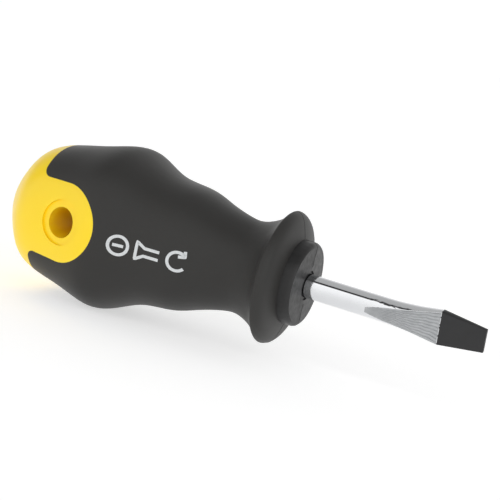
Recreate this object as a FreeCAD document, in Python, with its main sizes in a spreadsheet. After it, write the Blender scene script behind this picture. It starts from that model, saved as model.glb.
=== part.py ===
"""Stubby slotted screwdriver: forged blade, moulded core, butt cap with a hanging hole, soft grip.

Row frame, millimetres: the origin is the centre of the blade's tip face, +X runs along the tool axis
out of the tip, the hanging hole runs along Y and +Z is up. A name that ends in _at is a distance
measured backwards along the axis from the handle's front face.
"""
import FreeCAD
import Part
import Sketcher
import math
import os

from FreeCAD import Vector

NUMBERS = {
    # blade
    "blade_reach": 37.6,        # handle front to tip
    "shank_dia": 5.0,
    "tip_width": 5.0,
    "tip_thick": 0.8,
    "tip_length": 9.2,          # flare to tip
    "flare_width": 7.4,
    "flare_thick": 1.7,
    "forge_length": 15.2,       # start of the forged flats to the flare
    "blade_turn": 18.0,         # degrees between the blade's width and +Z
    "tang_length": 36.0,        # steel inside the handle
    "wing_at": 21.0,
    "wing_length": 8.0,
    "wing_width": 9.0,
    "wing_thick": 2.4,
    # core
    "collar_dia": 17.6,
    "collar_round": 1.2,
    "collar_length": 6.0,
    "neck_dia": 15.2,
    "neck_end": 17.9,
    "drum_dia": 22.4,
    "drum_at": 25.9,
    "spigot_at": 36.4,
    "spigot_dia": 13.0,
    "spigot_length": 8.0,
    "ring_at": 38.9,            # ring groove that locks the cap
    "ring_length": 2.5,
    "ring_depth": 1.2,
    "spigot_flat": 10.4,        # across the two flats
    "slot_width": 3.0,          # grooves in the drum that key the grip
    "slot_depth": 1.4,
    "recess_dia": 6.2,          # shallow recess round the shank
    "recess_depth": 0.35,
    "draft": 2.5,               # degrees, both ways from the parting plane
    # guard flange
    "guard_dia": 28.0,
    "guard_at": 4.2,            # front of the rim's band
    "guard_thick": 2.2,
    "guard_crest": 0.5,         # length of the crest at the back of the rim
    "guard_band": 0.9,          # the rim falls this much from the crest to the front
    "guard_lip": 2.4,           # height of the rounded rim
    "guard_sweep": 1.2,         # the foot of the flare lies this far behind the rim
    "guard_crown": 1.5,         # the front face rises this much from the rim to the collar
    # butt cap
    "grip_wall": 2.4,
    "hole_at": 49.4,
    "hole_dia": 6.4,
    "sink_dia": 9.4,            # shallow sink round each mouth of the hole
    "sink_depth": 0.45,
    "lobe_dia": 16.4,
    "tab_at": 57.4,             # ends of the two soft tabs
    "tab_gap": 15.8,            # between the tabs
    "tab_round": 1.8,
    # handle
    "handle_length": 68.5,
    "butt_flat": 4.0,           # radius of the control ring that rounds the end
    "corner_gain": 0.17,        # corners stand this much past the panels, per mm wider than the flare
}

# Control sections of the moulded four-sided handle, from the butt to the guard: distance behind the
# front face and half width across the flat panels. Each width is chosen to the nearest half
# millimetre, and corner_gain gives the radius at the rounded corners.
SECTIONS = (
    ("dome", 64.0, 10.5),
    ("shoulder", 60.5, 14.0),
    ("hanger", 51.0, 15.5),
    ("belly", 43.5, 18.0),
    ("taper", 40.0, 17.0),
    ("dent", 33.5, 13.5),
    ("knuckle", 26.0, 13.5),
    ("slope", 21.5, 11.5),
    ("waist", 16.0, 10.0),
    ("flare", 12.5, 9.5),
)
REACH = 40.0                    # half size of the cutting tools, wider than any section
DEGREE = 3
POLES = 8                       # poles in a ring: a panel and a corner for each of four sides
SPREAD = 2 * math.cos(2 * math.pi / POLES)
ROUND_POLE = 6 / (4 + SPREAD)   # pole radius of a ring over the radius of its circle

doc = FreeCAD.newDocument("screwdriver")
sheet = doc.addObject("Spreadsheet::Sheet", "Dim")


def fill_sheet():
    cells = dict(NUMBERS)
    for name, station, half in SECTIONS:
        cells[name + "_at"] = station
        cells[name + "_half"] = half
    for line, (alias, value) in enumerate(cells.items(), start=1):
        sheet.set("A%d" % line, alias)
        sheet.set("B%d" % line, str(value))
        sheet.setAlias("B%d" % line, alias)
    doc.recompute()


def dim(alias):
    return float(sheet.get(alias))


def front(expression):
    """X of a place that lies the given distance behind the handle's front face."""
    return "-Dim.blade_reach - (%s)" % expression


# ---- sketches ------------------------------------------------------------------------------------

def new_sketch(body, name, plane, offset=None):
    sketch = body.newObject("Sketcher::SketchObject", name)
    origin_planes = [f for f in body.Origin.OriginFeatures if f.Role == plane]
    sketch.AttachmentSupport = (origin_planes[0], [""])
    sketch.MapMode = "FlatFace"
    if offset:
        sketch.setExpression("AttachmentOffset.Base.z", offset)
    doc.recompute()
    return sketch


def number(sketch, expression):
    value = sketch.evalExpression(expression)
    return float(value.Value if hasattr(value, "Value") else value)


def bind_point(sketch, line, end, across, up):
    """Hold one end of a line at two expressions."""
    for kind, expression in (("DistanceX", across), ("DistanceY", up)):
        value = number(sketch, expression)
        index = sketch.addConstraint(Sketcher.Constraint(kind, -1, 1, line, end, value))
        sketch.setExpression("Constraints[%d]" % index, expression)


def outline(body, name, plane, corners, offset=None):
    """Closed polygon whose corners are pairs of expressions."""
    sketch = new_sketch(body, name, plane, offset)
    spots = [Vector(number(sketch, a), number(sketch, b), 0) for a, b in corners]
    count = len(spots)
    for i in range(count):
        sketch.addGeometry(Part.LineSegment(spots[i], spots[(i + 1) % count]))
    for i in range(count):
        sketch.addConstraint(Sketcher.Constraint("Coincident", i, 2, (i + 1) % count, 1))
    for i, (across, up) in enumerate(corners):
        bind_point(sketch, i, 1, across, up)
    doc.recompute()
    return sketch


def disc(body, name, plane, diameter, across="0", offset=None):
    """Circle whose centre lies on the plane's first axis."""
    sketch = new_sketch(body, name, plane, offset)
    middle = Vector(number(sketch, across), 0, 0)
    sketch.addGeometry(Part.Circle(middle, Vector(0, 0, 1), number(sketch, diameter) / 2))
    bind_point(sketch, 0, 3, across, "0")
    index = sketch.addConstraint(Sketcher.Constraint("Diameter", 0, number(sketch, diameter)))
    sketch.setExpression("Constraints[%d]" % index, diameter)
    doc.recompute()
    return sketch


def bar_section(body, name, at, width, thick, flat):
    """Section of the flattened bar at X = at: two flats joined by two bulging sides."""
    sketch = new_sketch(body, name, "YZ_Plane", at)
    half_t = number(sketch, thick) / 2
    half_w = number(sketch, width) / 2
    half_f = number(sketch, flat) / 2
    right = [Vector(half_t, -half_f, 0), Vector(0, -half_w, 0), Vector(-half_t, -half_f, 0)]
    left = [Vector(-half_t, half_f, 0), Vector(0, half_w, 0), Vector(half_t, half_f, 0)]
    sketch.addGeometry(Part.LineSegment(left[2], right[0]))
    sketch.addGeometry(Part.Arc(*right))
    sketch.addGeometry(Part.LineSegment(right[2], left[0]))
    sketch.addGeometry(Part.Arc(*left))
    ends = {}
    for i in range(4):
        for end in (1, 2):
            ends[i, end] = sketch.getPoint(i, end)
    for a, b in ((0, 1), (1, 2), (2, 3), (3, 0)):
        for u, v in ((1, 1), (1, 2), (2, 1), (2, 2)):
            if ends[a, u].distanceToPoint(ends[b, v]) < 1e-6:
                sketch.addConstraint(Sketcher.Constraint("Coincident", a, u, b, v))
    bind_point(sketch, 0, 1, "(%s) / 2" % thick, "(%s) / 2" % flat)
    bind_point(sketch, 0, 2, "(%s) / 2" % thick, "-(%s) / 2" % flat)
    bind_point(sketch, 2, 1, "-(%s) / 2" % thick, "-(%s) / 2" % flat)
    bind_point(sketch, 2, 2, "-(%s) / 2" % thick, "(%s) / 2" % flat)
    bulge = "((%s) - (%s)) / 2" % (width, flat)
    radius = "((%s)^2 + (%s)^2 / 4) / (2 * (%s))" % (bulge, thick, bulge)
    for arc in (1, 3):
        index = sketch.addConstraint(Sketcher.Constraint("Radius", arc, number(sketch, radius)))
        sketch.setExpression("Constraints[%d]" % index, radius)
    doc.recompute()
    return sketch


# ---- features ------------------------------------------------------------------------------------

def new_body(name):
    return doc.addObject("PartDesign::Body", name)


def revolve(body, sketch):
    feature = body.newObject("PartDesign::Revolution", sketch.Name + "_turn")
    feature.Profile = sketch
    feature.ReferenceAxis = (sketch, ["H_Axis"])
    feature.Angle = 360
    doc.recompute()
    return feature


def pad(body, sketch, length, both_ways=True):
    feature = body.newObject("PartDesign::Pad", sketch.Name + "_pad")
    feature.Profile = sketch
    feature.setExpression("Length", length)
    feature.SideType = "Symmetric" if both_ways else "One side"
    doc.recompute()
    return feature


def pocket(body, sketch, length):
    """Cut both ways from the sketch's plane and make sure that material really went."""
    before = body.Shape.Volume
    feature = body.newObject("PartDesign::Pocket", sketch.Name + "_cut")
    feature.Profile = sketch
    feature.SideType = "Symmetric"
    feature.setExpression("Length", length)
    doc.recompute()
    if body.Shape.Volume > before - 0.01:
        raise ValueError(sketch.Name + " cuts nothing")
    return feature


def loft(body, sections, ruled):
    feature = body.newObject("PartDesign::AdditiveLoft", sections[0].Name + "_loft")
    feature.Profile = sections[0]
    feature.Sections = [(s, [""]) for s in sections[1:]]
    feature.Ruled = ruled
    doc.recompute()
    return feature


def round_edges(body, radius, chosen):
    """Fillet the edges of the body's tip that the test picks."""
    base = body.Tip
    names = ["Edge%d" % (i + 1) for i, edge in enumerate(base.Shape.Edges) if chosen(edge)]
    if not names:
        raise ValueError("no edge to round on " + body.Name)
    feature = body.newObject("PartDesign::Fillet", base.Name + "_round")
    feature.Base = (base, names)
    feature.setExpression("Radius", radius)
    doc.recompute()
    return feature


def combine(kind, name, base, tool):
    feature = doc.addObject("Part::" + kind, name)
    feature.Base = base
    feature.Tool = tool
    doc.recompute()
    return feature


# ---- blade ---------------------------------------------------------------------------------------

def flat_for(thick):
    """Width of the flat that a cut at this thickness leaves on the round bar."""
    return "2 * sqrt(Dim.shank_dia^2 / 4 - (%s)^2 / 4)" % thick


def make_blade():
    """Round bar with a forged, flared tip in front and two wings on the tang inside the handle."""
    body = new_body("blade")
    start = "-Dim.tip_length - Dim.forge_length"
    tang_end = front("Dim.tang_length")
    bar = outline(body, "bar", "XZ_Plane", [
        (tang_end, "0"),
        (tang_end, "Dim.shank_dia / 2 - 0.8"),
        (tang_end + " + 0.8", "Dim.shank_dia / 2"),
        (start, "Dim.shank_dia / 2"),
        (start, "0"),
    ])
    revolve(body, bar)
    # the dies thin the bar evenly from full round to the flare, and its edges spread as they do
    sections = []
    spread = ((0.0, 0.0), (0.26, 0.02), (0.52, 0.16), (0.78, 0.55), (1.0, 1.0))
    for step, (along, wider) in enumerate(spread):
        at = "%s + %.3f * Dim.forge_length" % (start, along)
        full = "Dim.shank_dia * 0.98"
        thick = "%s + (Dim.flare_thick - %s) * %.3f" % (full, full, along)
        width = "Dim.shank_dia + (Dim.flare_width - Dim.shank_dia) * %.3f" % wider
        flat = "(%s) + (Dim.flare_width - Dim.shank_dia) * %.3f" % (flat_for(thick), wider)
        sections.append(bar_section(body, "forge_%d" % step, at, width, thick, flat))
    loft(body, sections, False)
    flare = bar_section(body, "flare", "-Dim.tip_length", "Dim.flare_width", "Dim.flare_thick",
                        "(%s) + Dim.flare_width - Dim.shank_dia" % flat_for("Dim.flare_thick"))
    tip = bar_section(body, "tip", "0", "Dim.tip_width", "Dim.tip_thick", "Dim.tip_width - 0.1")
    loft(body, [flare, tip], True)
    wing_front = front("Dim.wing_at")
    wing_back = front("Dim.wing_at + Dim.wing_length")
    wings = outline(body, "wings", "XZ_Plane", [
        (wing_front, "Dim.shank_dia / 2"),
        (wing_front + " - 1.5", "Dim.wing_width / 2"),
        (wing_back, "Dim.wing_width / 2"),
        (wing_back, "-Dim.wing_width / 2"),
        (wing_front + " - 1.5", "-Dim.wing_width / 2"),
        (wing_front, "-Dim.shank_dia / 2"),
    ])
    pad(body, wings, "Dim.wing_thick")
    body.setExpression("Placement.Rotation.Axis.x", "1")
    body.setExpression("Placement.Rotation.Axis.z", "0")
    body.setExpression("Placement.Rotation.Angle", "Dim.blade_turn")
    doc.recompute()
    return body


# ---- moulded skin of the handle ------------------------------------------------------------------

def pole_ring(station, panel, corner):
    """Ring of poles at one station, panels and corners in turn."""
    ring = []
    for k in range(POLES):
        radius = corner if k % 2 else panel
        angle = 2 * math.pi * k / POLES
        x = -dim("blade_reach") - station
        ring.append(Vector(x, radius * math.cos(angle), radius * math.sin(angle)))
    return ring


def skin_poles(wall, length):
    """Rings of poles from the butt over the guard's rim to inside the collar."""
    flat = dim("butt_flat")
    grid = [pole_ring(length, 0.3, 0.3), pole_ring(length, flat, flat)]
    for name, _, _ in SECTIONS:
        half = dim(name + "_half") - wall
        corner = half + dim("corner_gain") * (dim(name + "_half") - dim("flare_half"))
        panel_pole = 6 * (4 * half - SPREAD * corner) / (16 - SPREAD ** 2)
        corner_pole = 6 * (4 * corner - SPREAD * half) / (16 - SPREAD ** 2)
        grid.append(pole_ring(dim(name + "_at"), panel_pole, corner_pole))
    face = dim("guard_at")
    back = face + dim("guard_thick")
    outer = (dim("guard_dia") / 2 - wall) * ROUND_POLE
    band = outer - dim("guard_band")
    root = (dim("collar_dia") / 2 - 1) * ROUND_POLE
    middle = (band + root) / 2
    for station, radius in (
            (back + dim("guard_sweep"), outer - dim("guard_lip")), (back, outer),
            (back - dim("guard_crest"), outer), (face, band),
            (face - dim("guard_crown") / 2, middle), (face - dim("guard_crown"), root)):
        grid.append(pole_ring(station, radius, radius))
    return grid


def make_skin(name, wall, length):
    """Closed solid inside one smooth surface that runs from the butt over the guard to the collar."""
    grid = skin_poles(wall, length)
    spans = len(grid) - DEGREE
    along = [0] + list(range(1, spans)) + [spans]
    surface = Part.BSplineSurface()
    surface.buildFromPolesMultsKnots(
        grid, [DEGREE + 1] + [1] * (spans - 1) + [DEGREE + 1], [1] * (POLES + 1),
        along, list(range(POLES + 1)), False, True, DEGREE, DEGREE)
    side = surface.toShape()
    ends = [Part.Face(Part.Wire([edge])) for edge in side.Edges if edge.isClosed()]
    shell = Part.Shell([side] + ends)
    shell.sewShape()
    solid = Part.Solid(shell)
    if solid.Volume < 0:
        solid.reverse()
    feature = doc.addObject("Part::Feature", name)
    feature.Shape = solid
    doc.recompute()
    return feature


# ---- core ----------------------------------------------------------------------------------------

def drafted_front(body, name, at, radius):
    """Wedge off a front face: it leans back on both sides of the parting plane."""
    face = front(at)
    lean = "(%s) * tan(Dim.draft)" % radius
    sketch = outline(body, name, "XY_Plane", [
        (face, "0"),
        ("%s - %s" % (face, lean), radius),
        (face + " + 1", radius),
        (face + " + 1", "-(%s)" % radius),
        ("%s - %s" % (face, lean), "-(%s)" % radius),
    ])
    pocket(body, sketch, "%g" % (2 * REACH))


def make_core(blade):
    """Hard core moulded round the tang: collar in front, grip drum, keyed spigot for the cap."""
    body = new_body("core_blank")
    ring_front = "Dim.ring_at"
    ring_back = "Dim.ring_at + Dim.ring_length"
    spigot_end = "Dim.spigot_at + Dim.spigot_length"
    groove = "Dim.spigot_dia / 2 - Dim.ring_depth"
    steps = [
        ("0", "0"), ("0", "Dim.collar_dia / 2"),
        ("Dim.collar_length", "Dim.collar_dia / 2"), ("Dim.collar_length", "Dim.neck_dia / 2"),
        ("Dim.neck_end", "Dim.neck_dia / 2"), ("Dim.drum_at", "Dim.drum_dia / 2"),
        ("Dim.spigot_at", "Dim.drum_dia / 2"), ("Dim.spigot_at", "Dim.spigot_dia / 2"),
        (ring_front, "Dim.spigot_dia / 2"), (ring_front, groove),
        (ring_back, groove), (ring_back, "Dim.spigot_dia / 2"),
        (spigot_end, "Dim.spigot_dia / 2"), (spigot_end, "0"),
    ]
    profile = outline(body, "core_profile", "XZ_Plane", [(front(at), radius) for at, radius in steps])
    revolve(body, profile)
    face = -dim("blade_reach")
    rim = dim("collar_dia") / 2

    def front_rim(edge):
        box = edge.BoundBox
        return abs(box.XMin - face) < 0.01 and abs(box.XMax - face) < 0.01 and box.ZMax > rim - 0.01

    round_edges(body, "Dim.collar_round", front_rim)
    drafted_front(body, "collar_draft", "0", "Dim.collar_dia / 2 + 1")
    make_drum_slots(body)
    make_spigot_flats(body)
    make_shank_recess(body)
    return combine("Cut", "handle_core", body, blade)


def make_drum_slots(body):
    """Four grooves along the drum, repeated round the axis."""
    bottom = "Dim.drum_dia / 2 - Dim.slot_depth"
    across = "Dim.slot_width / 2"
    sketch = outline(body, "slot", "YZ_Plane", [
        ("-" + across, bottom), (across, bottom),
        (across, bottom + " + 4"), ("-" + across, bottom + " + 4"),
    ], front("(Dim.drum_at + Dim.spigot_at) / 2"))
    slot = pocket(body, sketch, "Dim.spigot_at - Dim.drum_at - 3")
    pattern = body.newObject("PartDesign::PolarPattern", "slots")
    pattern.Originals = [slot]
    pattern.Axis = (sketch, ["N_Axis"])
    pattern.Angle = 360
    pattern.Occurrences = 4
    body.Tip = pattern
    doc.recompute()


def make_spigot_flats(body):
    """Two flats that stop the cap from turning on the spigot."""
    start = front("Dim.spigot_at")
    end = front("Dim.spigot_at + Dim.spigot_length")
    for side, sign in (("upper", ""), ("lower", "-")):
        low = sign + "Dim.spigot_flat / 2"
        high = sign + "(Dim.spigot_dia / 2 + 1)"
        sketch = outline(body, side + "_flat", "XZ_Plane", [
            (start, low), (end + " - 1", low), (end + " - 1", high), (start, high)])
        pocket(body, sketch, "Dim.spigot_dia + 4")


def make_shank_recess(body):
    circle = disc(body, "recess", "YZ_Plane", "Dim.recess_dia", offset=front("0"))
    pocket(body, circle, "2 * Dim.recess_depth")


# ---- butt cap ------------------------------------------------------------------------------------

def make_cap_zone():
    """Space that the hard cap fills on the outside: the dome and a lobe round each hole mouth."""
    body = new_body("cap_zone")
    tab = front("Dim.tab_at")
    hole = front("Dim.hole_at")
    gap = "Dim.tab_gap / 2"
    lobe = "Dim.lobe_dia / 2"
    far = front("Dim.handle_length + 10")
    wide = "%g" % REACH
    sketch = outline(body, "dome_and_web", "XZ_Plane", [
        (far, wide), (tab, wide), (tab, gap), (hole, lobe),
        (hole, "-" + lobe), (tab, "-" + gap), (tab, "-" + wide), (far, "-" + wide)])
    pad(body, sketch, "%g" % (2 * REACH))
    corner_x = number(sketch, tab)
    corner_z = dim("tab_gap") / 2

    def tab_corner(edge):
        box = edge.BoundBox
        return box.XLength < 0.01 and abs(box.XMin - corner_x) < 0.01 and \
            box.ZLength < 0.01 and abs(abs(box.ZMin) - corner_z) < 0.01

    round_edges(body, "Dim.tab_round", tab_corner)
    circle = disc(body, "lobe", "XZ_Plane", "Dim.lobe_dia", hole)
    pad(body, circle, "%g" % (2 * REACH))
    return body


def along_y(name, diameter):
    """Round cutter along Y, centred on the hanging hole."""
    tool = doc.addObject("Part::Cylinder", name)
    tool.setExpression("Radius", diameter + " / 2")
    tool.Height = 2 * REACH
    tool.Placement = FreeCAD.Placement(Vector(0, -REACH, 0), FreeCAD.Rotation(Vector(1, 0, 0), -90))
    tool.setExpression("Placement.Base.x", front("Dim.hole_at"))
    doc.recompute()
    return tool


def make_cap(skin, core_blank):
    lining = make_skin("lining", dim("grip_wall"), dim("handle_length") - dim("grip_wall"))
    rear = doc.addObject("Part::Box", "rear_half")
    rear.setExpression("Length", "Dim.handle_length - Dim.spigot_at + 10")
    rear.Width = 2 * REACH
    rear.Height = 2 * REACH
    rear.setExpression("Placement.Base.x", front("Dim.handle_length + 10"))
    rear.Placement.Base.y = -REACH
    rear.Placement.Base.z = -REACH
    doc.recompute()
    outer = combine("Common", "cap_outside", skin, make_cap_zone())
    inner = combine("Common", "cap_inside", lining, rear)
    whole = combine("Fuse", "cap_whole", outer, inner)
    seated = combine("Cut", "cap_seated", whole, core_blank)
    drilled = combine("Cut", "cap_drilled", seated, along_y("hole_tool", "Dim.hole_dia"))
    sink_floor = make_skin("sink_floor", dim("sink_depth"), dim("handle_length") - dim("sink_depth"))
    sinks = combine("Cut", "sinks", along_y("sink_tool", "Dim.sink_dia"), sink_floor)
    return combine("Cut", "butt_cap", drilled, sinks)


# ---- soft grip -----------------------------------------------------------------------------------

def make_grip(skin, core_blank):
    """Soft skin over the core and over the inner block of the cap, open where the cap shows."""
    open_rear = combine("Cut", "grip_open_rear", skin, doc.getObject("cap_zone"))
    round_cap = combine("Cut", "grip_round_cap", open_rear, doc.getObject("cap_inside"))
    return combine("Cut", "soft_grip", round_cap, core_blank)


# ---- build, test and write -----------------------------------------------------------------------

def check(parts):
    for thing in doc.Objects:
        if "Invalid" in thing.State or "Error" in thing.State:
            raise ValueError("%s: %s" % (thing.Name, thing.State))
    for part in parts:
        shape = part.Shape
        if shape.isNull() or not shape.isValid():
            raise ValueError(part.Label + " has no valid shape")
        print(part.Label, "solids", len(shape.Solids), "volume %.1f" % shape.Volume, shape.BoundBox)


def main():
    fill_sheet()
    blade = make_blade()
    core = make_core(blade)
    skin = make_skin("skin", 0.0, dim("handle_length"))
    core_blank = doc.getObject("core_blank")
    cap = make_cap(skin, core_blank)
    grip = make_grip(skin, core_blank)
    parts = [blade, core, cap, grip]
    doc.recompute()
    check(parts)
    os.makedirs("parts", exist_ok=True)
    for part in parts:
        part.Shape.exportStep("parts/%s.step" % part.Label)


main()
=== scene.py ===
"""Looks of the stubby slotted screwdriver: materials, forged blade, printed mark, studio.

Row frame in metres: the origin is the centre of the blade's tip face, +X runs along the tool out of
the tip, Y along the hanging hole and +Z is up.
"""
import math

import bmesh
import bpy
from mathutils import Matrix, Vector
from mathutils.bvhtree import BVHTree


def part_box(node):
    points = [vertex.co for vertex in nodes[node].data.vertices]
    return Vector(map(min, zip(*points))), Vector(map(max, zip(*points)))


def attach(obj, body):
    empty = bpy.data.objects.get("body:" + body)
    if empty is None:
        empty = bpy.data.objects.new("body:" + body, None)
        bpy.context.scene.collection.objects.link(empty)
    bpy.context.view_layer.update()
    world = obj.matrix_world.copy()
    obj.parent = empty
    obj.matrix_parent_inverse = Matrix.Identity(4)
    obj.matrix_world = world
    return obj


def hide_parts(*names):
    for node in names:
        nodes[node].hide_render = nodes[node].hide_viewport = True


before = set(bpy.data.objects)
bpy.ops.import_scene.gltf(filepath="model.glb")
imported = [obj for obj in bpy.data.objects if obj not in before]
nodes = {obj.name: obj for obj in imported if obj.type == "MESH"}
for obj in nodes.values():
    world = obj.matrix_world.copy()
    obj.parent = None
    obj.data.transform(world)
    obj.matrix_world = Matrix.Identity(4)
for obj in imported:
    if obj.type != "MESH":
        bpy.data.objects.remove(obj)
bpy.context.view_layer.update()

MM = 0.001
FAR = 0.1                                   # rays start this far outside the part

# places along the tool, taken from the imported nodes
BLADE_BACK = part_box("blade")[0].x
COLLAR_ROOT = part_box("soft_grip")[1].x      # where the collar leaves the guard
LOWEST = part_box("soft_grip")[0].z

# blade
TIP_LENGTH = 9.2 * MM                       # blackened end
FORGE_LENGTH = 15.2 * MM                    # ribbed flats behind it
BLADE_TURN = math.radians(18)               # blade's width against +Z
SIDE_STEPS = 150                            # points across one side of the blade
FLATNESS = 0.992                            # share of the middle height that still counts as flat
RIBS = 9
RIB_DEPTH = 0.17 * MM
VEIN_DEPTH = 0.045 * MM
BLACKING_WAVE = 0.04 * MM                   # how far the edge of the black tip wanders


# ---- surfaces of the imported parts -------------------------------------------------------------

def tree_of(*names):
    """Ray-casting tree over the named CAD nodes."""
    points, faces = [], []
    for name in names:
        mesh = nodes[name].data
        start = len(points)
        points += [v.co.copy() for v in mesh.vertices]
        faces += [[start + i for i in p.vertices] for p in mesh.polygons]
    return BVHTree.FromPolygons(points, faces)


def hit(tree, origin, direction):
    """First point of the surface along a ray, or None."""
    return tree.ray_cast(Vector(origin), Vector(direction).normalized())[0]


def smoothstep(low, high, value):
    """Smooth rise from 0 at low to 1 at high."""
    t = min(1.0, max(0.0, (value - low) / (high - low)))
    return t * t * (3 - 2 * t)


def new_piece(name, points, faces, materials, smooth=True, indices=None):
    """Mesh object that rides on the tool and takes its finish from a material slot."""
    mesh = bpy.data.meshes.new(name)
    mesh.from_pydata([tuple(p) for p in points], [], faces)
    for material in materials:
        mesh.materials.append(material)
    for i, polygon in enumerate(mesh.polygons):
        polygon.use_smooth = smooth
        if indices:
            polygon.material_index = indices[i]
    bm = bmesh.new()
    bm.from_mesh(mesh)
    bmesh.ops.recalc_face_normals(bm, faces=bm.faces)
    bm.to_mesh(mesh)
    bm.free()
    piece = bpy.data.objects.new(name, mesh)
    bpy.context.scene.collection.objects.link(piece)
    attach(piece, "root")
    return piece


# ---- material helpers -------------------------------------------------------------------------

class Nodes:
    """Short calls that add nodes to one material."""

    def __init__(self, name):
        self.material = bpy.data.materials.new(name)
        self.material.use_nodes = True
        self.tree = self.material.node_tree
        self.shader = self.tree.nodes["Principled BSDF"]
        self.place = self.add("ShaderNodeTexCoord").outputs["Object"]

    def add(self, kind, **values):
        node = self.tree.nodes.new(kind)
        for key, value in values.items():
            setattr(node, key, value)
        return node

    def link(self, source, target):
        self.tree.links.new(source, target)

    def scaled(self, scale):
        """Object coordinates stretched by a scale per axis."""
        mapping = self.add("ShaderNodeMapping")
        mapping.inputs["Scale"].default_value = scale
        self.link(self.place, mapping.inputs["Vector"])
        return mapping.outputs["Vector"]

    def noise(self, size, detail=3.0, rough=0.5, stretch=(1, 1, 1)):
        """Noise whose blobs are about one size across."""
        node = self.add("ShaderNodeTexNoise")
        node.inputs["Scale"].default_value = 1.0
        node.inputs["Detail"].default_value = detail
        node.inputs["Roughness"].default_value = rough
        self.link(self.scaled([s / size for s in stretch]), node.inputs["Vector"])
        return node.outputs["Fac"]

    def spread(self, value, low, high, at_low, at_high):
        """Map a value's range to another, held at both ends."""
        node = self.add("ShaderNodeMapRange")
        node.inputs["From Min"].default_value = low
        node.inputs["From Max"].default_value = high
        node.inputs["To Min"].default_value = at_low
        node.inputs["To Max"].default_value = at_high
        self.link(value, node.inputs["Value"])
        return node.outputs["Result"]

    def blend(self, factor, first, second):
        """Colour between two colours."""
        node = self.add("ShaderNodeMix", data_type="RGBA")
        node.inputs[6].default_value = (*first, 1)
        node.inputs[7].default_value = (*second, 1)
        self.link(factor, node.inputs["Factor"])
        return node.outputs[2]

    def bump(self, height, distance, below=None):
        node = self.add("ShaderNodeBump")
        node.inputs["Distance"].default_value = distance
        self.link(height, node.inputs["Height"])
        if below:
            self.link(below, node.inputs["Normal"])
        return node.outputs["Normal"]

    def set(self, **values):
        for key, value in values.items():
            self.shader.inputs[key.replace("_", " ")].default_value = value

    def drive(self, **sockets):
        for key, source in sockets.items():
            self.link(source, self.shader.inputs[key.replace("_", " ")])


def rubber():
    """Soft-touch elastomer: matt, with a fine leathery grain and faint handling marks."""
    m = Nodes("soft_touch_rubber")
    patches = m.noise(14 * MM, detail=4)
    grain = m.noise(0.22 * MM, detail=2)
    m.drive(Base_Color=m.blend(patches, (0.026, 0.0253, 0.0240), (0.034, 0.0330, 0.0312)),
            Roughness=m.spread(patches, 0.3, 0.7, 0.44, 0.54),
            Normal=m.bump(grain, 0.012 * MM, below=m.bump(m.noise(3 * MM), 0.02 * MM)))
    m.set(Specular_IOR_Level=0.26, Sheen_Weight=0.03, Sheen_Roughness=0.4)
    return m.material


def core_plastic():
    """Hard moulded plastic: slightly shinier, with flow streaks round the gate."""
    m = Nodes("moulded_core")
    streaks = m.noise(1.2 * MM, detail=4, stretch=(0.25, 1, 1))
    grain = m.noise(0.3 * MM, detail=3)
    m.drive(Base_Color=m.blend(streaks, (0.010, 0.0100, 0.0102), (0.024, 0.0235, 0.0235)),
            Roughness=m.spread(streaks, 0.3, 0.7, 0.34, 0.52),
            Normal=m.bump(grain, 0.010 * MM, below=m.bump(streaks, 0.05 * MM)))
    m.set(Specular_IOR_Level=0.35)
    return m.material


def cap_plastic():
    """Yellow polypropylene: semi-gloss, a little translucent, with a faint moulded texture."""
    m = Nodes("yellow_cap")
    patches = m.noise(9 * MM, detail=3)
    grain = m.noise(0.5 * MM, detail=3)
    m.drive(Base_Color=m.blend(patches, (0.97, 0.67, 0.006), (1.0, 0.71, 0.010)),
            Roughness=m.spread(patches, 0.3, 0.7, 0.28, 0.38),
            Normal=m.bump(grain, 0.006 * MM, below=m.bump(m.noise(4 * MM), 0.03 * MM)))
    m.set(Subsurface_Weight=0.12, Subsurface_Radius=(1.0, 0.45, 0.1), Subsurface_Scale=1.2 * MM)
    return m.material


def chrome():
    """Plated steel bar with the fine lengthwise lines of its drawing and polishing."""
    m = Nodes("plated_steel")
    lines = m.noise(0.18 * MM, detail=3, stretch=(0.012, 1, 1))
    clouds = m.noise(5 * MM, detail=3)
    m.drive(Base_Color=m.blend(clouds, (0.70, 0.71, 0.73), (0.80, 0.81, 0.82)),
            Roughness=m.spread(lines, 0.3, 0.7, 0.06, 0.11),
            Normal=m.bump(lines, 0.004 * MM))
    m.set(Metallic=1.0)
    return m.material


def forged_flat():
    """Plated over the rough die marks, so it scatters light."""
    m = Nodes("plated_die_marks")
    grit = m.noise(0.16 * MM, detail=4)
    m.drive(Base_Color=m.blend(m.noise(1.5 * MM), (0.34, 0.35, 0.36), (0.50, 0.51, 0.52)),
            Roughness=m.spread(grit, 0.3, 0.7, 0.36, 0.56),
            Normal=m.bump(grit, 0.02 * MM))
    m.set(Metallic=1.0)
    return m.material


def black_tip():
    """Phosphated steel: nearly black and dull, with fine grinding lines across the tip."""
    m = Nodes("blackened_tip")
    lines = m.noise(0.14 * MM, detail=3, stretch=(1, 0.15, 0.15))
    clouds = m.noise(2.5 * MM, detail=4)
    m.drive(Base_Color=m.blend(clouds, (0.016, 0.016, 0.0165), (0.030, 0.030, 0.031)),
            Roughness=m.spread(clouds, 0.3, 0.7, 0.42, 0.58),
            Normal=m.bump(lines, 0.010 * MM))
    m.set(Metallic=0.35)
    return m.material


def print_ink():
    """Pale pad-printed ink with a slightly uneven cover."""
    m = Nodes("pale_ink")
    cover = m.noise(0.35 * MM, detail=3)
    m.drive(Base_Color=m.blend(cover, (0.50, 0.52, 0.53), (0.72, 0.74, 0.75)),
            Roughness=m.spread(cover, 0.3, 0.7, 0.45, 0.6),
            Normal=m.bump(cover, 0.01 * MM))
    return m.material


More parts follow.
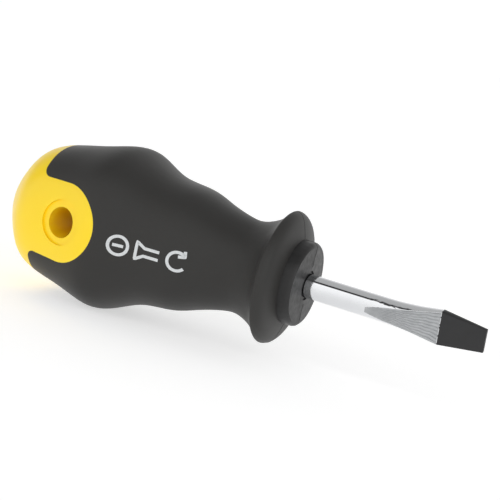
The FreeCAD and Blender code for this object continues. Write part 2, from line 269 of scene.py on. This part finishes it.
def painted_seam_shade():
    """Near-black painted shade on the raised line where two halves of the mould met, standing in for the
    shadow of its step.
    """
    m = Nodes("mould_seam_painted_shade")
    cover = m.noise(0.4 * MM, detail=2)
    # near-black colour is painted shade: the raised line's darkness stands in for the shadow of a mould
    # step
    m.drive(Base_Color=m.blend(cover, (0.003, 0.003, 0.003), (0.006, 0.006, 0.006)),
            Roughness=m.spread(cover, 0.3, 0.7, 0.6, 0.75))
    return m.material


# ---- blade ------------------------------------------------------------------------------------

WIDE = Vector((0, -math.sin(BLADE_TURN), math.cos(BLADE_TURN)))
THICK = Vector((0, math.cos(BLADE_TURN), math.sin(BLADE_TURN)))


def blade_stations():
    """Places along the axis: close together where the surface has detail."""
    flare = -TIP_LENGTH
    forge = flare - FORGE_LENGTH
    spans = ((BLADE_BACK, BLADE_BACK + 0.8 * MM, 0.2 * MM), (BLADE_BACK + 0.8 * MM, forge, 0.5 * MM),
             (forge, flare, 0.09 * MM), (flare, 0.0, 0.3 * MM))
    stations = []
    for start, end, step in spans:
        count = round((end - start) / step)
        stations += [start + (end - start) * i / count for i in range(count)]
    return stations + [0.0]


def rib_cut(x, across, reach):
    """Depth of the die marks at one place on a flat; reach is the flat's half width there."""
    flare = -TIP_LENGTH
    wave = 0.16 * math.sin(x * 900) + 0.09 * math.sin(x * 2300 + across * 800)
    phase = across / reach * RIBS / 2 + wave
    groove = (0.5 + 0.5 * math.cos(2 * math.pi * phase)) ** 1.6
    vein = math.sin((across * 0.8 + x * 0.6) / (0.11 * MM) + 1.5 * math.sin(x * 700))
    fade = smoothstep(0.2 * MM, 1.6 * MM, reach) * smoothstep(0, 0.5 * MM, flare - x)
    return fade * (RIB_DEPTH * groove + VEIN_DEPTH * max(0.0, vein) ** 2)


def flat_reach(heights, widths):
    """Half width of the part of a section that is flat."""
    middle = heights[len(heights) // 2]
    reach = 0.0
    for height, width in zip(heights, widths):
        if height > middle * FLATNESS:
            reach = max(reach, abs(width))
    return reach


def blade_ring(tree, x, die_marks):
    """Closed ring of points round the blade, and for each point whether it is on a flat."""
    inside = min(max(x, BLADE_BACK + 0.01 * MM), -0.01 * MM)
    side = hit(tree, Vector((inside, 0, 0)) + WIDE * FAR, -WIDE)
    half = side.dot(WIDE)
    widths = [half * math.cos(math.pi * i / SIDE_STEPS) for i in range(SIDE_STEPS + 1)]
    heights = []
    for width in widths:
        start = Vector((inside, 0, 0)) + WIDE * width * 0.9995 + THICK * FAR
        point = hit(tree, start, -THICK)
        heights.append(point.dot(THICK) if point else 0.0)
    heights[0] = heights[-1] = 0.0
    reach = flat_reach(heights, widths)
    ring, flat = [], []
    for sign, order in ((1, range(SIDE_STEPS + 1)), (-1, range(SIDE_STEPS - 1, 0, -1))):
        for i in order:
            on_flat = die_marks and abs(widths[i]) < reach
            height = heights[i]
            if on_flat:
                edge = smoothstep(0, 0.35 * MM, reach - abs(widths[i]))
                height -= edge * rib_cut(x, widths[i] * sign, reach)
            ring.append(Vector((x, 0, 0)) + WIDE * widths[i] + THICK * height * sign)
            flat.append(on_flat)
    return ring, flat


def blacking_edge(i):
    """Where the blackening ends at one point round the section."""
    wave = math.sin(i * 0.21) + 0.6 * math.sin(i * 0.57 + 1.3)
    return -TIP_LENGTH + BLACKING_WAVE * (wave - 1.6)


def make_blade():
    tree = tree_of("blade")
    flare = -TIP_LENGTH
    points, flats = [], []
    stations = blade_stations()
    count = 2 * SIDE_STEPS
    for x in stations:
        ring, flat = blade_ring(tree, x, flare - FORGE_LENGTH < x < flare)
        points += ring
        flats += flat
    faces, indices = [], []
    for j in range(len(stations) - 1):
        for i in range(count):
            a = j * count + i
            b = j * count + (i + 1) % count
            faces.append((a, b, b + count, a + count))
            if stations[j] >= blacking_edge(i):
                indices.append(2)
            else:
                indices.append(1 if flats[a] and flats[b] and flats[a + count] else 0)
    faces += [tuple(range(count)), tuple(range(len(points) - count, len(points)))]
    indices += [0, 2]
    blade = new_piece("forged_blade", points, faces,
                      (chrome(), forged_flat(), black_tip()), indices=indices)
    blade.data.polygons[len(faces) - 1].use_smooth = False
    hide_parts("blade")
    return blade


# ---- mould seams ------------------------------------------------------------------------------

GUARD_DEPTH = 6 * MM                        # seams run this far back from the collar's root
GUARD_RADIUS = 13.9 * MM
COLLAR_RADIUS = 8.8 * MM
SEAM_WIDTH = 0.11 * MM                      # half width at the foot
SEAM_HEIGHT = 0.045 * MM
ASIDE = 1e-6                                # rays pass this far beside the parting plane


def spaced(start, length, steps):
    """Evenly spaced values from start over a length."""
    return [start + length * i / steps for i in range(steps + 1)]


def make_seam(name, track, outward, slot):
    """Thin raised line of a mould's parting plane along a track of surface points, coloured near black as
    painted shade.
    """
    across = Vector((0, SEAM_WIDTH, 0))
    points, faces = [], []
    for point, up in zip(track, outward):
        rise = up * SEAM_HEIGHT
        points += [point + across - rise, point + rise, point - across - rise]
    for j in range(len(track) - 1):
        for i in range(3):
            a, b = j * 3 + i, j * 3 + (i + 1) % 3
            faces.append((a, b, b + 3, a + 3))
    faces += [(0, 1, 2), (len(points) - 3, len(points) - 2, len(points) - 1)]
    # the ridge is given the near-black painted shade material
    return new_piece(name, points, faces, (painted_seam_shade(),), smooth=False)


def surface_track(tree, rays):
    """Points and outward normals where rays meet the surface."""
    track, outward = [], []
    for origin, direction in rays:
        point, normal, _, _ = tree.ray_cast(Vector(origin), Vector(direction))
        if point is not None and point.x > COLLAR_ROOT - GUARD_DEPTH:
            track.append(point)
            outward.append(normal)
    return track, outward


def make_seams():
    """Parting lines on the guard and on the collar, above and below."""
    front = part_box("handle_core")[1].x
    grip_tree = tree_of("soft_grip")
    core_tree = tree_of("handle_core")
    for side, sign in (("top", 1), ("bottom", -1)):
        down = (0, 0, -sign)
        face = [((0, ASIDE, sign * r), (-1, 0, 0))
                for r in spaced(COLLAR_RADIUS, GUARD_RADIUS - COLLAR_RADIUS, 24)]
        rim = [((COLLAR_ROOT - back, ASIDE, sign * FAR), down) for back in spaced(1.9 * MM, 3.0 * MM, 10)]
        make_seam("guard_seam_" + side, *surface_track(grip_tree, face + rim), "grip_rubber")
        face = [((front + FAR, ASIDE, sign * r), (-1, 0, 0)) for r in spaced(3.9 * MM, 4.5 * MM, 16)]
        wall = [((front - back, ASIDE, sign * FAR), down) for back in spaced(0.6 * MM, 2.1 * MM, 10)]
        make_seam("collar_seam_" + side, *surface_track(core_tree, face + wall), "core_plastic")


# ---- printed mark -----------------------------------------------------------------------------

MARK_MIDDLE = -67.5 * MM                    # centre of the mark along X
MARK_RISE = -1.1 * MM                       # and along Z
MARK_HEIGHT = 4.4 * MM
STROKE = 0.62 * MM


def arc(centre, radius, start, end, steps=40):
    """Points on an arc in the mark's own plane, angles in degrees."""
    points = []
    for i in range(steps + 1):
        angle = math.radians(start + (end - start) * i / steps)
        points.append((centre[0] + radius * math.cos(angle), centre[1] + radius * math.sin(angle)))
    return points


def straight(start, end):
    """Evenly spaced points on a straight stroke."""
    count = max(2, round(math.dist(start, end) / (0.2 * MM)))
    return [(start[0] + (end[0] - start[0]) * i / count, start[1] + (end[1] - start[1]) * i / count)
            for i in range(count + 1)]


def path_through(corners):
    """Points on the straight strokes that join the corners."""
    points = []
    for start, end in zip(corners, corners[1:]):
        points += straight(start, end)[:-1]
    return points + [corners[-1]]


def mark_strokes():
    """A slotted screw head, a blade pointing at it and a turning arrow."""
    half = MARK_HEIGHT / 2 - STROKE / 2
    head = -6.2 * MM
    blade = -0.3 * MM
    turn = 6.0 * MM
    strokes = [arc((head, 0), half, 0, 360), straight((head - half * 0.55, 0), (head + half * 0.55, 0))]
    strokes.append(path_through([(blade + 2.6 * MM, half * 0.42), (blade - 0.6 * MM, half * 0.42),
                                 (blade - 2.3 * MM, half * 0.95), (blade - 2.3 * MM, -half * 0.95),
                                 (blade - 0.6 * MM, -half * 0.42), (blade + 2.6 * MM, -half * 0.42)]))
    strokes.append(arc((turn, 0), half, 40, 320))
    end = (turn + half * math.cos(math.radians(40)), half * math.sin(math.radians(40)))
    strokes.append(path_through([(end[0] - 0.2 * MM, end[1] + 1.15 * MM), end,
                                 (end[0] - 1.35 * MM, end[1] - 0.2 * MM)]))
    return strokes


def ribbon(tree, line):
    """Thin solid ribbon along a line, laid on the grip's front panel."""
    lift, sink = 0.03 * MM, 0.05 * MM
    closed = math.dist(line[0], line[-1]) < 1e-6
    if closed:
        line = line[:-1]
    count = len(line)
    points = []
    for i, (x, z) in enumerate(line):
        before = line[i - 1] if closed or i else line[i]
        after = line[(i + 1) % count] if closed or i < count - 1 else line[i]
        along = Vector((after[0] - before[0], after[1] - before[1])).normalized()
        normal = Vector((-along.y, along.x)) * STROKE / 2
        for part in (1, 0.33, -0.33, -1):
            spot = hit(tree, (MARK_MIDDLE + x + normal.x * part, -FAR, MARK_RISE + z + normal.y * part),
                       (0, 1, 0))
            points.append(spot)
    top = [p - Vector((0, lift, 0)) for p in points]
    bottom = [p + Vector((0, sink, 0)) for p in points]
    points = top + bottom
    deep = len(top)
    faces = []
    for j in range(count if closed else count - 1):
        a, b = 4 * j, 4 * ((j + 1) % count)
        for i in range(3):
            faces.append((a + i, a + i + 1, b + i + 1, b + i))
            faces.append((deep + a + i, deep + b + i, deep + b + i + 1, deep + a + i + 1))
        faces.append((a, b, deep + b, deep + a))
        faces.append((a + 3, deep + a + 3, deep + b + 3, b + 3))
    if not closed:
        for a in (0, 4 * (count - 1)):
            faces.append((a, a + 1, a + 2, a + 3, deep + a + 3, deep + a + 2, deep + a + 1, deep + a))
    return points, faces


def make_mark():
    tree = tree_of("soft_grip")
    points, faces = [], []
    for line in mark_strokes():
        more_points, more_faces = ribbon(tree, line)
        start = len(points)
        points += more_points
        faces += [tuple(start + i for i in face) for face in more_faces]
    return new_piece("printed_mark", points, faces, (print_ink(),), smooth=False)


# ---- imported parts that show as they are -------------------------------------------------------

def dress(name, material):
    """Give a CAD node its one material."""
    nodes[name].data.materials.clear()
    nodes[name].data.materials.append(material)


# ---- studio -----------------------------------------------------------------------------------

CAMERA_PLACE = Vector((54.45, -281.30, 50.01)) * MM
CAMERA_AZIMUTH = math.radians(20.65)        # turned left of +Y
CAMERA_DOWN = math.radians(8.80)
CAMERA_ROLL = math.radians(13.83)
LENS = 107.15
TABLE = 60.0                                # half width of the table top
TABLE_GLOW = 0.55                           # light from below, so shadows stay faint
LIGHT_TARGET = Vector((-0.05, 0, 0))

# brightness of the studio round the tool's axis: share of the way from the front over the top to
# the back, and brightness from there on
STUDIO = ((0.0, 1.10), (0.29, 1.25), (0.315, 0.05), (0.39, 0.05), (0.42, 0.50), (0.70, 0.55),
          (0.90, 1.10))


def make_camera():
    data = bpy.data.cameras.new("camera")
    data.lens = LENS
    data.clip_start = 0.01
    camera = bpy.data.objects.new("camera", data)
    bpy.context.scene.collection.objects.link(camera)
    turn = Matrix.Rotation(CAMERA_AZIMUTH, 4, "Z") @ Matrix.Rotation(math.radians(90) - CAMERA_DOWN, 4, "X")
    camera.matrix_world = Matrix.Translation(CAMERA_PLACE) @ turn @ Matrix.Rotation(CAMERA_ROLL, 4, "Z")
    bpy.context.scene.camera = camera


def make_floor():
    """Pale table top, wide enough to reach the horizon."""
    m = Nodes("pale_table")
    m.drive(Base_Color=m.blend(m.noise(0.2, detail=2), (0.66, 0.66, 0.66), (0.70, 0.70, 0.70)),
            Roughness=m.spread(m.noise(0.05, detail=2), 0.3, 0.7, 0.75, 0.85))
    m.set(Specular_IOR_Level=0.1, Emission_Color=(1, 1, 1, 1), Emission_Strength=TABLE_GLOW)
    corners = [(x * TABLE, y * TABLE, LOWEST) for x, y in ((-1, -1), (1, -1), (1, 1), (-1, 1))]
    mesh = bpy.data.meshes.new("table")
    mesh.from_pydata(corners, [], [(0, 1, 2, 3)])
    mesh.materials.append(m.material)
    table = bpy.data.objects.new("table", mesh)
    bpy.context.scene.collection.objects.link(table)


def softbox(name, place, size, power):
    """Large soft light aimed at the middle of the tool."""
    data = bpy.data.lights.new(name, "AREA")
    data.shape = "RECTANGLE"
    data.size, data.size_y = size
    data.energy = power
    light = bpy.data.objects.new(name, data)
    bpy.context.scene.collection.objects.link(light)
    look = LIGHT_TARGET - Vector(place)
    light.matrix_world = Matrix.Translation(place) @ look.to_track_quat("-Z", "Y").to_matrix().to_4x4()


def make_world():
    """Surroundings with a bright front, a dark strip above it and a grey ceiling."""
    world = bpy.data.worlds.new("studio")
    world.use_nodes = True
    tree = world.node_tree
    place = tree.nodes.new("ShaderNodeTexCoord")
    split = tree.nodes.new("ShaderNodeSeparateXYZ")
    tree.links.new(place.outputs["Generated"], split.inputs["Vector"])
    front = tree.nodes.new("ShaderNodeMath")
    front.operation = "MULTIPLY"
    front.inputs[1].default_value = -1.0
    tree.links.new(split.outputs["Y"], front.inputs[0])
    angle = tree.nodes.new("ShaderNodeMath")
    angle.operation = "ARCTAN2"
    tree.links.new(split.outputs["Z"], angle.inputs[0])
    tree.links.new(front.outputs[0], angle.inputs[1])
    share = tree.nodes.new("ShaderNodeMath")
    share.operation = "DIVIDE"
    share.inputs[1].default_value = math.pi
    tree.links.new(angle.outputs[0], share.inputs[0])
    ramp = tree.nodes.new("ShaderNodeValToRGB")
    tree.links.new(share.outputs[0], ramp.inputs["Fac"])
    stops = ramp.color_ramp.elements
    while len(stops) < len(STUDIO):
        stops.new(0.5)
    for stop, (position, brightness) in zip(stops, STUDIO):
        stop.position = position
        stop.color = (brightness, brightness, brightness, 1)
    tree.links.new(ramp.outputs["Color"], tree.nodes["Background"].inputs["Color"])
    bpy.context.scene.world = world


def make_light():
    make_world()
    softbox("right", (0.7, -0.35, 0.35), (0.4, 0.6), 0.9)
    bpy.context.scene.view_settings.view_transform = "Standard"


dress("soft_grip", rubber())
dress("handle_core", core_plastic())
dress("butt_cap", cap_plastic())
make_blade()
make_seams()
make_mark()
make_floor()
make_light()
make_camera()
